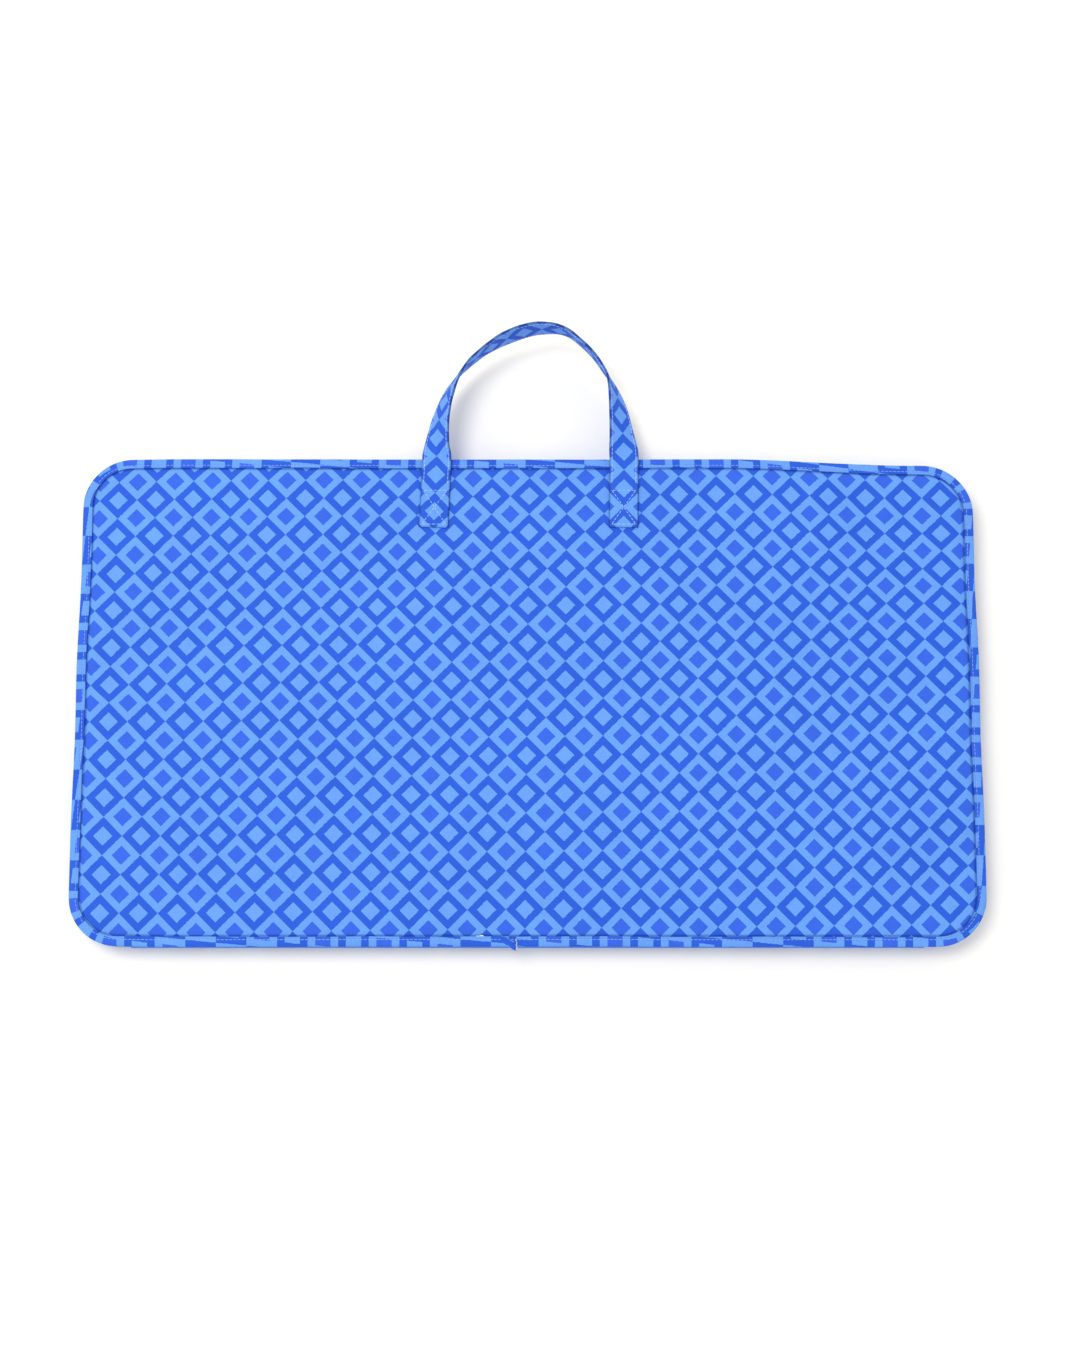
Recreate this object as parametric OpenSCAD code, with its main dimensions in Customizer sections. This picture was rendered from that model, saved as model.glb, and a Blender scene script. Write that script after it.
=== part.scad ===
// Three-leaf shirt folding board with a carry strap, shown folded flat.
// Millimetres. X runs along the long edges, +Y points at the carry strap, Z is up.
// The origin is the centre of the rear leaf's outer face, which the folded board rests on.
// Each leaf is a stiff board and a foam pad between a lining and a printed cover, bound all round.
// The front leaf turns about the -Y long edge and the rear leaf about the +Y long edge.

/* [Leaf] */
// Length of each leaf along its long edges
leaf_w = 550; // [400:1:700]
// Depth of each leaf from one long edge to the other
leaf_d = 300; // [220:1:400]
// Radius of the leaf's corners
corner_r = 30; // [16:1:60]

/* [Layers] */
// Thickness of the printed cover fabric
cover_t = 0.5; // [0.3:0.1:1]
// Thickness of the foam pad
foam_t = 2.6; // [2:0.1:6]
// Thickness of the stiff board
board_t = 2; // [1.5:0.1:3]
// Thickness of the lining fabric
lining_t = 0.5; // [0.3:0.1:1]
// Thickness of the foam where the edge seam squeezes it flat
squeezed_t = 1.4; // [0.6:0.1:1.8]
// Room between the board's edge and the lining's step
board_clear = 0.5; // [0.2:0.1:2]

/* [Binding] */
// Width of the binding on each face
binding_w = 6; // [4:0.5:12]
// Thickness of the binding fabric
binding_t = 0.6; // [0.4:0.1:1]
// Flat seam allowance between the binding and the padded area
seam_w = 1.5; // [0.5:0.1:4]

/* [Fold] */
// Gap between two folded leaves
fold_gap = 2; // [2:0.1:4]
// Distance of the hinge line outside the leaf's edge
hinge_reach = 0.4; // [0.3:0.1:3]
// Distance from the end of each tape half to the hinge line
hinge_clear = 0.3; // [0.2:0.1:1]
// Width of the tape that is sewn to each leaf
tape_w = 22; // [14:1:40]
// Thickness of the hinge tape
tape_t = 0.5; // [0.3:0.1:0.6]
// Distance from the tape's ends to the start of the leaf's corner rounding
tape_margin = 8; // [0:1:60]

/* [Closure patches] */
// Length of each patch
patch_w = 60; // [30:1:90]
// Width of each patch
patch_d = 20; // [12:1:30]
// Thickness of each patch
patch_t = 0.8; // [0.5:0.1:0.8]
// Spacing of the two patches' centres
patch_spacing = 360; // [120:1:440]
// Distance from the patch to the leaf's edge
patch_inset = 12; // [10:1:40]

/* [Carry strap] */
// Width of the strap
strap_w = 18; // [12:0.5:24]
// Thickness of the strap
strap_t = 2; // [1.2:0.1:3]
// Spacing of the strap's two legs
strap_spacing = 116; // [90:1:180]
// Offset of the strap's middle from the leaf's middle
strap_shift = 1.5; // [-20:0.5:20]
// Reach of the loop's centreline beyond the leaf's edge
loop_reach = 83; // [60:1:130]
// Rise of the loop's centreline above the legs
loop_rise = 2.4; // [2:0.1:20]
// Distance from the leaf's edge to the sewn box
tack_inset = 20; // [12:1:40]
// Length of the sewn tab on the leaf
tab_len = 24; // [18:1:50]
// Height of the free strap above the cover
strap_lift = 0.3; // [0.3:0.1:1]
// Distance from the sewn tab to the free strap
tab_clear = 0.2; // [0.2:0.1:1]
// Margin of the backing patch around the sewn tab
backing_margin = 4; // [1:0.5:8]
// Thickness of the backing patch
backing_t = 0.8; // [0.4:0.1:1.2]

/* [Hidden] */

$fn = 64;

print_blue = [0.30, 0.50, 0.94];
binding_blue = [0.24, 0.43, 0.90];
lining_white = [0.93, 0.93, 0.90];
foam_cream = [0.95, 0.92, 0.82];
board_grey = [0.66, 0.60, 0.52];
tape_blue = [0.36, 0.56, 0.96];
patch_white = [0.88, 0.90, 0.95];

// Heights inside one leaf, measured from its lining face
board_low = lining_t;
foam_low = board_low + board_t;
cover_low = foam_low + foam_t;
leaf_t = cover_low + cover_t;
seam_t = lining_t + squeezed_t + cover_t;
seam_low = (leaf_t - seam_t) / 2;
squeezed_low = seam_low + lining_t;
seam_cover_low = squeezed_low + squeezed_t;
binding_low = seam_low - binding_t;
binding_h = seam_t + 2 * binding_t;

// Insets from the leaf's outline
pad_inset = binding_w + seam_w;
cover_step = pad_inset + cover_t;
lining_step = pad_inset + lining_t;
board_inset = lining_step + board_clear;

// Heights of the three folded leaves
centre_z = leaf_t + fold_gap;
front_z = centre_z + leaf_t + fold_gap;
front_top = front_z + leaf_t;

tape_l = leaf_w - 2 * (corner_r + tape_margin);
tape_end = leaf_d / 2 + hinge_reach - hinge_clear;

// Carry strap
strap_z = front_top + strap_lift + strap_t / 2;
leg_start = leaf_d / 2 - tack_inset;
tab_y = leg_start - tab_clear - tab_len;
// Stations along the loop: across and outwards as shares of its half spacing and reach, and the
// strap's twist in degrees, from flat on the leaf to past upright at the top
loop_stations = [
  [-1, 0, 0], [-1, 0.09, 29], [-0.96, 0.3, 51], [-0.86, 0.52, 67], [-0.69, 0.7, 84],
  [-0.44, 0.85, 91], [-0.17, 0.95, 98], [0.14, 1, 94], [0.41, 0.96, 85], [0.65, 0.81, 84],
  [0.8, 0.66, 84], [0.88, 0.55, 71], [0.94, 0.38, 50], [0.98, 0.16, 30], [1, 0, 0]
];
steps_per_station = 3;
full_rise_twist = 90;

// The leaf's outline, moved inwards
module outline(inset) {
  r = corner_r - inset;
  half_w = leaf_w / 2 - inset;
  half_d = leaf_d / 2 - inset;
  square([2 * half_w, 2 * (half_d - r)], center = true);
  square([2 * (half_w - r), 2 * half_d], center = true);
  for (x = [-1, 1], y = [-1, 1]) translate([x * (half_w - r), y * (half_d - r)]) circle(r);
}

// A flat ring between two insets of the outline
module ring(outer, inner, z, h) {
  translate([0, 0, z]) linear_extrude(h) difference() {
    outline(outer);
    outline(inner);
  }
}

module plate(inset, z, h) translate([0, 0, z]) linear_extrude(h) outline(inset);

// The layers of one leaf, lining face down
module leaf_cover() {
  ring(binding_t, cover_step, seam_cover_low, cover_t);
  ring(pad_inset, cover_step, seam_cover_low, cover_low - seam_cover_low);
  plate(pad_inset, cover_low, cover_t);
}

module leaf_foam() {
  plate(lining_step, foam_low, seam_cover_low - foam_low);
  plate(cover_step, foam_low, foam_t);
  ring(binding_t, board_inset, squeezed_low, squeezed_t);
}

module leaf_stiffener() plate(board_inset, board_low, board_t);

module leaf_lining() {
  ring(binding_t, lining_step, seam_low, lining_t);
  ring(pad_inset, lining_step, 0, seam_low);
  plate(pad_inset, 0, lining_t);
}

module leaf_binding() difference() {
  ring(0, binding_w, binding_low, binding_h);
  ring(binding_t, binding_w + 1, seam_low, seam_t);
}

// The front and rear leaves lie lining down, and the centre leaf lies lining up
module front() translate([0, 0, front_z]) children();
module centre() translate([0, 0, centre_z + leaf_t]) mirror([0, 0, 1]) children();
module rear() children();

// Half of a hinge tape, from the hinge line inwards, along the +Y long edge
module tape_half(z) {
  translate([-tape_l / 2, tape_end - tape_w, z]) cube([tape_l, tape_w, tape_t]);
}

// A closure patch near the +Y long edge
module patch(side, z) {
  translate([side * patch_spacing / 2 - patch_w / 2, leaf_d / 2 - patch_inset - patch_d, z])
    cube([patch_w, patch_d, patch_t]);
}

module along_lower_edge() mirror([0, 1, 0]) children();

function strap_x(side) = strap_shift + side * strap_spacing / 2;

module handle_tab(side) {
  translate([strap_x(side) - strap_w / 2, tab_y, front_top]) cube([strap_w, tab_len, strap_t]);
}

module handle_backing(side, spare) {
  translate([strap_x(side) - strap_w / 2 - backing_margin - spare,
             tab_y - backing_margin - spare, front_top - cover_t - backing_t])
    cube([strap_w + 2 * (backing_margin + spare), tab_len + 2 * (backing_margin + spare),
          backing_t]);
}

// A smooth curve through four neighbouring stations
function blend(a, b, c, d, t) =
  0.5 * (2 * b + (c - a) * t + (2 * a - 5 * b + 4 * c - d) * t * t
         + (3 * b - a - 3 * c + d) * t * t * t);
last_station = len(loop_stations) - 1;
function station(i) =
  i < 0 ? [-1, -loop_stations[1][1], 0]
  : i > last_station ? [1, -loop_stations[last_station - 1][1], 0]
  : loop_stations[i];
loop_curve = concat(
  [for (i = [0 : last_station - 1], k = [0 : steps_per_station - 1])
    blend(station(i - 1), station(i), station(i + 1), station(i + 2), k / steps_per_station)],
  [loop_stations[last_station]]);
// Rings along the strap: centre and twist
leg_twist = 0;
loop_rings = concat(
  [[strap_x(-1), leg_start, strap_z, leg_twist]],
  [for (s = loop_curve)
    [strap_shift + s[0] * strap_spacing / 2, leaf_d / 2 + s[1] * loop_reach,
     strap_z + loop_rise * min(1, max(0, s[2] / full_rise_twist)), max(0, s[2])]],
  [[strap_x(1), leg_start, strap_z, leg_twist]]);
last_ring = len(loop_rings) - 1;
function ring_point(i) = [loop_rings[i][0], loop_rings[i][1], loop_rings[i][2]];
function unit(v) = v / norm(v);
function level(v) = [v[0], v[1], 0];
function along(i) =
  i == 0 ? [0, 1, 0]
  : i == last_ring ? [0, -1, 0]
  : unit(level(ring_point(i + 1) - ring_point(i - 1)));
// Across the strap's width, turned about the strap's own run by its twist
function across(i) =
  let (t = along(i), a = loop_rings[i][3]) [t[1] * cos(a), -t[0] * cos(a), sin(a)];
function ring_corners(i) =
  let (p = ring_point(i), w = across(i) * strap_w / 2, h = cross(along(i), across(i)) * strap_t / 2)
    [p - w - h, p + w - h, p + w + h, p - w + h];

module handle_loop_solid() {
  polyhedron(
    points = [for (i = [0 : last_ring]) each ring_corners(i)],
    faces = concat(
      [[0, 1, 2, 3]],
      [for (i = [0 : last_ring - 1], k = [0 : 3], half = [0, 1])
        let (n = (k + 1) % 4, here = 4 * i, next = 4 * (i + 1))
          half == 0 ? [here + k, next + k, next + n] : [here + k, next + n, here + n]],
      [[for (k = [3 : -1 : 0]) 4 * last_ring + k]]));
}

module front_cover() color(print_blue) front() leaf_cover();
module front_foam() color(foam_cream) difference() {
  front() leaf_foam();
  handle_backing(-1, 0.1);
  handle_backing(1, 0.1);
}
module front_stiffener() color(board_grey) front() leaf_stiffener();
module front_lining() color(lining_white) front() leaf_lining();
module front_binding() color(binding_blue) front() leaf_binding();
module centre_cover() color(print_blue) centre() leaf_cover();
module centre_foam() color(foam_cream) centre() leaf_foam();
module centre_stiffener() color(board_grey) centre() leaf_stiffener();
module centre_lining() color(lining_white) centre() leaf_lining();
module centre_binding() color(binding_blue) centre() leaf_binding();
module rear_cover() color(print_blue) rear() leaf_cover();
module rear_foam() color(foam_cream) rear() leaf_foam();
module rear_stiffener() color(board_grey) rear() leaf_stiffener();
module rear_lining() color(lining_white) rear() leaf_lining();
module rear_binding() color(binding_blue) rear() leaf_binding();
module front_hinge_tape_outer() color(tape_blue) along_lower_edge() tape_half(front_z - tape_t);
module front_hinge_tape_inner() color(tape_blue) along_lower_edge() tape_half(centre_z + leaf_t);
module rear_hinge_tape_outer() color(tape_blue) tape_half(leaf_t);
module rear_hinge_tape_inner() color(tape_blue) tape_half(centre_z - tape_t);
module front_loop_patch_left() color(patch_white) patch(-1, front_z - patch_t);
module front_loop_patch_right() color(patch_white) patch(1, front_z - patch_t);
module front_hook_patch_left() color(patch_white) patch(-1, centre_z + leaf_t);
module front_hook_patch_right() color(patch_white) patch(1, centre_z + leaf_t);
module rear_loop_patch_left() color(patch_white) along_lower_edge() patch(-1, leaf_t);
module rear_loop_patch_right() color(patch_white) along_lower_edge() patch(1, leaf_t);
module rear_hook_patch_left() color(patch_white) along_lower_edge() patch(-1, centre_z - patch_t);
module rear_hook_patch_right() color(patch_white) along_lower_edge() patch(1, centre_z - patch_t);
module handle_backing_left() color(lining_white) handle_backing(-1, 0);
module handle_backing_right() color(lining_white) handle_backing(1, 0);
module handle_tab_left() color(binding_blue) handle_tab(-1);
module handle_tab_right() color(binding_blue) handle_tab(1);
module handle_loop() color(binding_blue) handle_loop_solid();

front_cover();
front_foam();
front_stiffener();
front_lining();
front_binding();
centre_cover();
centre_foam();
centre_stiffener();
centre_lining();
centre_binding();
rear_cover();
rear_foam();
rear_stiffener();
rear_lining();
rear_binding();
front_hinge_tape_outer();
front_hinge_tape_inner();
rear_hinge_tape_outer();
rear_hinge_tape_inner();
front_loop_patch_left();
front_loop_patch_right();
front_hook_patch_left();
front_hook_patch_right();
rear_loop_patch_left();
rear_loop_patch_right();
rear_hook_patch_left();
rear_hook_patch_right();
handle_backing_left();
handle_backing_right();
handle_tab_left();
handle_tab_right();
handle_loop();
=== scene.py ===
"""A three-leaf shirt folding board, folded flat, seen from above.

Lengths in this script are in millimetres and become metres where a mesh is made. Each leaf is
built in its own coordinates, with its lining face at z = 0 and its printed cover on top.
"""
import math
from dataclasses import dataclass

import bmesh
import bpy
import numpy as np
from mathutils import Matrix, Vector


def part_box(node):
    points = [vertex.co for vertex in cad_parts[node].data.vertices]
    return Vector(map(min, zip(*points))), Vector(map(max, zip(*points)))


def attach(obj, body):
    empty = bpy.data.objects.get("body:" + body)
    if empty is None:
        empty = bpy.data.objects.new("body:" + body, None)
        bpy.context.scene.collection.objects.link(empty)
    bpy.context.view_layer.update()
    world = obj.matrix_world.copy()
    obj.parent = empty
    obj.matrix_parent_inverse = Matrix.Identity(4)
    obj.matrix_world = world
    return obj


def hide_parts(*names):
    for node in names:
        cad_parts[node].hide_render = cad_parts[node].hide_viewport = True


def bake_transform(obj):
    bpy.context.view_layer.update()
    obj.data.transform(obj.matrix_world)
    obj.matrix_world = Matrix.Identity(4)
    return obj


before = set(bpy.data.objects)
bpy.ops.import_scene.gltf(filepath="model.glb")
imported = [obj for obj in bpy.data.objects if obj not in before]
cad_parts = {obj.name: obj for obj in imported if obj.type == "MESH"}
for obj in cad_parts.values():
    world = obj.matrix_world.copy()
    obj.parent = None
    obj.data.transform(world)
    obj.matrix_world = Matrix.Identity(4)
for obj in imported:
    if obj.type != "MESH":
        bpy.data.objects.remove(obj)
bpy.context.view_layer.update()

MM = 0.001


def box_mm(node):
    """A CAD node's lowest and highest corners in millimetres."""
    low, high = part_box(node)
    return np.array(low) / MM, np.array(high) / MM


# ---- sizes from the frame

BIND_LOW, BIND_HIGH = box_mm("front_binding")
COVER_LOW, COVER_HIGH = box_mm("front_cover")
LINING_LOW, LINING_HIGH = box_mm("front_lining")
TAB_LOW, TAB_HIGH = box_mm("handle_tab_left")
TAB_RIGHT_LOW, TAB_RIGHT_HIGH = box_mm("handle_tab_right")

HALF_W = BIND_HIGH[0]
HALF_D = BIND_HIGH[1]
CORNER_R = 30
LEAF_T = COVER_HIGH[2] - LINING_LOW[2]
FRONT_Z = LINING_LOW[2]
CENTRE_TOP = box_mm("centre_lining")[1][2]
BINDING_W = 6
CLOTH_T = 0.5
SEAM_TOP = COVER_LOW[2] - FRONT_Z + CLOTH_T
SEAM_LOW = LINING_HIGH[2] - FRONT_Z - CLOTH_T
BIND_TOP = BIND_HIGH[2] - FRONT_Z
BIND_BOTTOM = BIND_LOW[2] - FRONT_Z
BOARD_TOP = box_mm("front_stiffener")[1][2] - FRONT_Z
EDGE_INSET = HALF_W - COVER_HIGH[0]
PRINT_PITCH = 23.07
STITCH = 2.5

# ---- small maths


def smooth(t):
    """An even step from 0 to 1 as t goes from 0 to 1."""
    t = np.clip(t, 0, 1)
    return t * t * (3 - 2 * t)


def waves(x, y, longest, shortest, seed, count=14):
    """A smooth random field from -1 to 1, made of sine waves between two wavelengths."""
    rng = np.random.default_rng(seed)
    total = np.zeros(np.broadcast(x, y).shape)
    for _ in range(count):
        length = math.exp(rng.uniform(math.log(shortest), math.log(longest)))
        turn, phase = rng.uniform(0, 2 * math.pi, 2)
        across = x * math.cos(turn) + y * math.sin(turn)
        total = total + np.sin(2 * math.pi * across / length + phase)
    return total / math.sqrt(count) / 1.6


def distance_to_line(x, y, line):
    """Distance from points to an open line of points, and the side each point lies on."""
    best = np.full(np.shape(x), 1e9)
    side = np.zeros(np.shape(x))
    along = np.zeros(np.shape(x))
    lengths = [math.dist(a, b) for a, b in zip(line, line[1:])]
    done = 0
    for (ax, ay), (bx, by), length in zip(line, line[1:], lengths):
        ux, uy = (bx - ax) / length, (by - ay) / length
        t = np.clip((x - ax) * ux + (y - ay) * uy, 0, length)
        dx, dy = x - ax - t * ux, y - ay - t * uy
        distance = np.hypot(dx, dy)
        nearer = distance < best
        best = np.where(nearer, distance, best)
        side = np.where(nearer, np.sign(ux * dy - uy * dx), side)
        along = np.where(nearer, (done + t) / sum(lengths), along)
        done += length
    return best, side, along


# ---- mesh helpers


def add_map(mesh, name, pairs):
    """A UV map from one pair in millimetres per point."""
    layer = mesh.uv_layers.new(name=name)
    corners = np.empty(len(mesh.loops), int)
    mesh.loops.foreach_get("vertex_index", corners)
    layer.data.foreach_set("uv", (np.asarray(pairs, float) * MM)[corners].ravel())


def add_object(name, data):
    """A new object in the scene."""
    item = bpy.data.objects.new(name, data)
    bpy.context.scene.collection.objects.link(item)
    return item


def make(name, points, faces, material, uv=None, recalculate=False, edge=None):
    """A mesh object from points in millimetres, with one UV pair in millimetres per point and,
    for printed cloth, each point's distance from the cloth's edge."""
    mesh = bpy.data.meshes.new(name)
    mesh.from_pydata((np.asarray(points, float) * MM).tolist(), [], [list(f) for f in faces])
    if recalculate:
        shape = bmesh.new()
        shape.from_mesh(mesh)
        bmesh.ops.recalc_face_normals(shape, faces=shape.faces)
        shape.to_mesh(mesh)
        shape.free()
    if uv is not None:
        add_map(mesh, "cloth", uv)
    if edge is not None:
        add_map(mesh, "edge", np.column_stack([np.ravel(edge), np.zeros(np.size(edge))]))
    mesh.materials.append(material)
    mesh.polygons.foreach_set("use_smooth", [True] * len(mesh.polygons))
    mesh.update()
    return add_object(name, mesh)


def grid_faces(rows, columns, close_columns=False, flip=False, start=0):
    """Quads over a grid of points stored row by row."""
    faces = []
    for row in range(start, start + (rows - 1) * columns, columns):
        for j in range(columns if close_columns else columns - 1):
            j2 = (j + 1) % columns
            quad = [row + j, row + columns + j, row + columns + j2, row + j2]
            faces.append(quad[::-1] if flip else quad)
    return faces


def closed_sheet(top, bottom):
    """Points and faces of a closed solid between two grids of the same shape, top facing +Z."""
    rows, columns = top.shape[:2]
    count = rows * columns
    points = np.concatenate([top.reshape(-1, 3), bottom.reshape(-1, 3)])
    faces = grid_faces(rows, columns) + grid_faces(rows, columns, flip=True, start=count)
    rim = ([i * columns for i in range(rows)]
           + [(rows - 1) * columns + j for j in range(1, columns)]
           + [i * columns + columns - 1 for i in range(rows - 2, -1, -1)]
           + list(range(columns - 2, 0, -1)))
    for a, b in zip(rim, rim[1:] + rim[:1]):
        faces.append([a, a + count, b + count, b])
    return points, faces


def slab(x, y, high, low):
    """Points and faces of a closed solid between two heights over a grid."""
    return closed_sheet(np.stack([x, y, high], -1), np.stack([x, y, low], -1))


def swept(rings):
    """Points and faces of a tube through rings of points, closed at both ends."""
    count, sides = len(rings), len(rings[0])
    faces = grid_faces(count, sides, close_columns=True)
    faces.append(list(range(sides)))
    faces.append([(count - 1) * sides + k for k in range(sides - 1, -1, -1)])
    return np.concatenate(rings), faces


def joined(name, parts, material):
    """One piece from several lists of points and faces."""
    points, faces, start = [], [], 0
    for part_points, part_faces in parts:
        points.append(part_points)
        faces += [[start + k for k in f] for f in part_faces]
        start += len(part_points)
    return make(name, np.concatenate(points), faces, material)


# ---- materials


class Nodes:
    """Short names for the shader nodes that the materials here are made of."""

    def __init__(self, name, roughness, sheen=0.0, sheen_roughness=0.5, specular=0.3):
        self.material = bpy.data.materials.new(name)
        self.material.use_nodes = True
        self.tree = self.material.node_tree
        self.shader = self.tree.nodes["Principled BSDF"]
        for socket, value in (("Roughness", roughness), ("Specular IOR Level", specular),
                              ("Sheen Weight", sheen), ("Sheen Roughness", sheen_roughness)):
            self.shader.inputs[socket].default_value = value

    def put(self, socket, value):
        if isinstance(value, bpy.types.NodeSocket):
            self.tree.links.new(value, socket)
        else:
            socket.default_value = value

    def math(self, operation, a, b=0.0, c=0.0):
        node = self.tree.nodes.new("ShaderNodeMath")
        node.operation = operation
        for socket, value in zip(node.inputs, (a, b, c)):
            self.put(socket, value)
        return node.outputs[0]

    def uv(self, name):
        """One of the piece's UV maps, in metres."""
        node = self.tree.nodes.new("ShaderNodeUVMap")
        node.uv_map = name
        return node.outputs["UV"]

    def place(self):
        return self.tree.nodes.new("ShaderNodeTexCoord").outputs["Object"]

    def split(self, vector):
        """The first two parts of a vector."""
        node = self.tree.nodes.new("ShaderNodeSeparateXYZ")
        self.tree.links.new(vector, node.inputs[0])
        return node.outputs[0], node.outputs[1]

    def cloth_uv(self):
        """The piece's own cloth coordinates along its threads: whole, across and along."""
        uv = self.uv("cloth")
        return uv, *self.split(uv)

    def noise(self, vector, size, detail=3.0, roughness=0.5):
        node = self.tree.nodes.new("ShaderNodeTexNoise")
        for socket, value in (("Vector", vector), ("Scale", 1 / (size * MM)),
                              ("Detail", detail), ("Roughness", roughness)):
            self.put(node.inputs[socket], value)
        return node.outputs["Fac"]

    def span(self, value, low, high, to_low, to_high):
        node = self.tree.nodes.new("ShaderNodeMapRange")
        for socket, number in zip(node.inputs[:5], (value, low, high, to_low, to_high)):
            self.put(socket, number)
        return node.outputs[0]

    def mix(self, share, a, b):
        node = self.tree.nodes.new("ShaderNodeMix")
        node.data_type = "RGBA"
        self.put(node.inputs[0], share)
        self.put(node.inputs[6], a)
        self.put(node.inputs[7], b)
        return node.outputs[2]

    def shade(self, colour, value):
        """A colour made darker or lighter by a grey value round 1."""
        node = self.tree.nodes.new("ShaderNodeVectorMath")
        node.operation = "SCALE"
        self.put(node.inputs[0], colour[:3] if isinstance(colour, tuple) else colour)
        self.put(node.inputs["Scale"], value)
        return node.outputs[0]

    def colour(self, value):
        self.put(self.shader.inputs["Base Color"], value)

    def bump(self, height, distance, strength):
        node = self.tree.nodes.new("ShaderNodeBump")
        node.inputs["Strength"].default_value = strength
        node.inputs["Distance"].default_value = distance * MM
        self.put(node.inputs["Height"], height)
        self.tree.links.new(node.outputs[0], self.shader.inputs["Normal"])


def plain_weave(n, u, v, pitch):
    """Height of a plain weave of round threads, from 0 to 1."""
    turn = math.pi / (pitch * MM)
    a = n.math("SINE", n.math("MULTIPLY", u, turn))
    b = n.math("SINE", n.math("MULTIPLY", v, turn))
    over = n.math("MULTIPLY", a, b)
    return n.math("MULTIPLY_ADD", over, 0.5, 0.5)


def twill(n, u, v, pitch):
    """Height of a diagonal twill line, from 0 to 1."""
    turn = 2 * math.pi / (pitch * MM)
    line = n.math("SINE", n.math("MULTIPLY", n.math("ADD", u, v), turn))
    thread = n.math("SINE", n.math("MULTIPLY", n.math("SUBTRACT", u, v), turn * 2))
    return n.math("MULTIPLY_ADD", n.math("MULTIPLY_ADD", thread, 0.3, line), 0.4, 0.5)


LIGHT_BLUE = (0.121, 0.316, 0.80, 1)
RING_BLUE = (0.019, 0.099, 0.62, 1)
CORE_BLUE = (0.032, 0.118, 0.685, 1)


def nested_diamonds(n, u, v):
    """The print: rings of one blue round a core of the other, in a chequer of diamonds."""
    u = n.math("DIVIDE", u, PRINT_PITCH * MM)
    v = n.math("DIVIDE", v, PRINT_PITCH * MM)
    near, off = [], []
    for diagonal in (n.math("ADD", u, v), n.math("SUBTRACT", u, v)):
        near.append(n.math("FLOOR", n.math("ADD", diagonal, 0.5)))
        off.append(n.math("ABSOLUTE", n.math("SUBTRACT", diagonal, near[-1])))
    core = n.math("LESS_THAN", n.math("MAXIMUM", *off), 0.25)
    half_sum = n.math("MULTIPLY", n.math("ADD", *near), 0.5)
    odd = n.math("GREATER_THAN", n.math("FRACT", half_sum), 0.25)
    dark = n.math("ABSOLUTE", n.math("SUBTRACT", odd, core))
    return dark, core


def printed_cloth(name, grain, fold, fold_width, fold_painted_shade):
    """Printed cotton, with painted shade: a darker line along its fold or seam at distance fold
    from its edge, where that crevice or fold edge would lie in shade.
    """
    n = Nodes(name, roughness=0.7, sheen=0.03, sheen_roughness=0.6, specular=0.15)
    uv, u, v = n.cloth_uv()
    ragged = n.span(n.noise(uv, 1.6, 2.0), 0, 1, -0.35 * MM, 0.35 * MM)
    dark, core = nested_diamonds(n, n.math("ADD", u, ragged), n.math("SUBTRACT", v, ragged))
    deep = n.mix(core, RING_BLUE, CORE_BLUE)
    ink = n.mix(dark, LIGHT_BLUE, deep)
    uneven = n.math("ADD", n.noise(uv, 9.0, 3.0), n.noise(uv, 75.0, 2.0))
    blotch = n.span(uneven, 0.7, 1.3, 0.94, 1.05)
    speckle = n.span(n.noise(uv, 0.9, 2.0), 0.3, 0.7, 1 - 0.08 * grain, 1 + 0.08 * grain)
    from_edge, _ = n.split(n.uv("edge"))
    off_fold = n.math("ABSOLUTE", n.math("SUBTRACT", from_edge, fold * MM))
    # Painted shade: the colour is darkened along the line at distance fold from the edge, standing
    # in for the shade in the gutter or at the fold.
    line = n.span(off_fold, 0, fold_width * MM, 1 - fold_painted_shade, 1)
    n.colour(n.shade(n.shade(n.shade(ink, blotch), speckle), line))
    weave = plain_weave(n, u, v, 0.55)
    slub = n.noise(uv, 2.4, 3.0)
    n.bump(n.math("MULTIPLY_ADD", slub, 0.8, weave), 0.06, 0.55)
    return n.material


def plain_cloth(name, colour, pitch=0.7, depth=0.1, weave=twill, dirt=0.05):
    n = Nodes(name, roughness=0.85, sheen=0.15)
    uv, u, v = n.cloth_uv()
    height = weave(n, u, v, pitch)
    threads = n.span(height, 0, 1, 0.9, 1.04)
    blotch = n.span(n.noise(uv, 14.0, 4.0), 0.3, 0.7, 1 - dirt, 1 + dirt * 0.5)
    n.colour(n.shade(n.shade(colour, threads), blotch))
    n.bump(n.math("MULTIPLY_ADD", n.noise(uv, 1.5, 2.0), 0.5, height), depth, 0.6)
    return n.material


def thread_material(name, colour):
    n = Nodes(name, roughness=0.45, sheen=0.1)
    fibre = n.noise(n.place(), 0.25, 2.0)
    n.colour(n.shade(colour, n.span(fibre, 0.3, 0.7, 0.82, 1.1)))
    n.bump(fibre, 0.05, 0.5)
    return n.material


def foam_material():
    n = Nodes("foam_cells", roughness=0.95)
    cells = n.tree.nodes.new("ShaderNodeTexVoronoi")
    n.tree.links.new(n.place(), cells.inputs["Vector"])
    cells.inputs["Scale"].default_value = 1 / (0.9 * MM)
    distance = cells.outputs["Distance"]
    n.colour(n.shade((0.83, 0.77, 0.60, 1), n.span(distance, 0, 0.8, 0.8, 1.08)))
    n.bump(distance, 0.4, 0.8)
    return n.material


def board_material():
    n = Nodes("greyboard_fibre", roughness=0.88)
    place = n.place()
    fibre, fleck = n.noise(place, 3.0, 6.0, 0.7), n.noise(place, 0.6, 2.0)
    grey = n.mix(n.span(fleck, 0.62, 0.72, 0, 0.6), (0.36, 0.31, 0.25, 1), (0.19, 0.16, 0.13, 1))
    n.colour(n.shade(grey, n.span(fibre, 0.3, 0.7, 0.85, 1.12)))
    n.bump(fibre, 0.15, 0.5)
    return n.material


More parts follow.
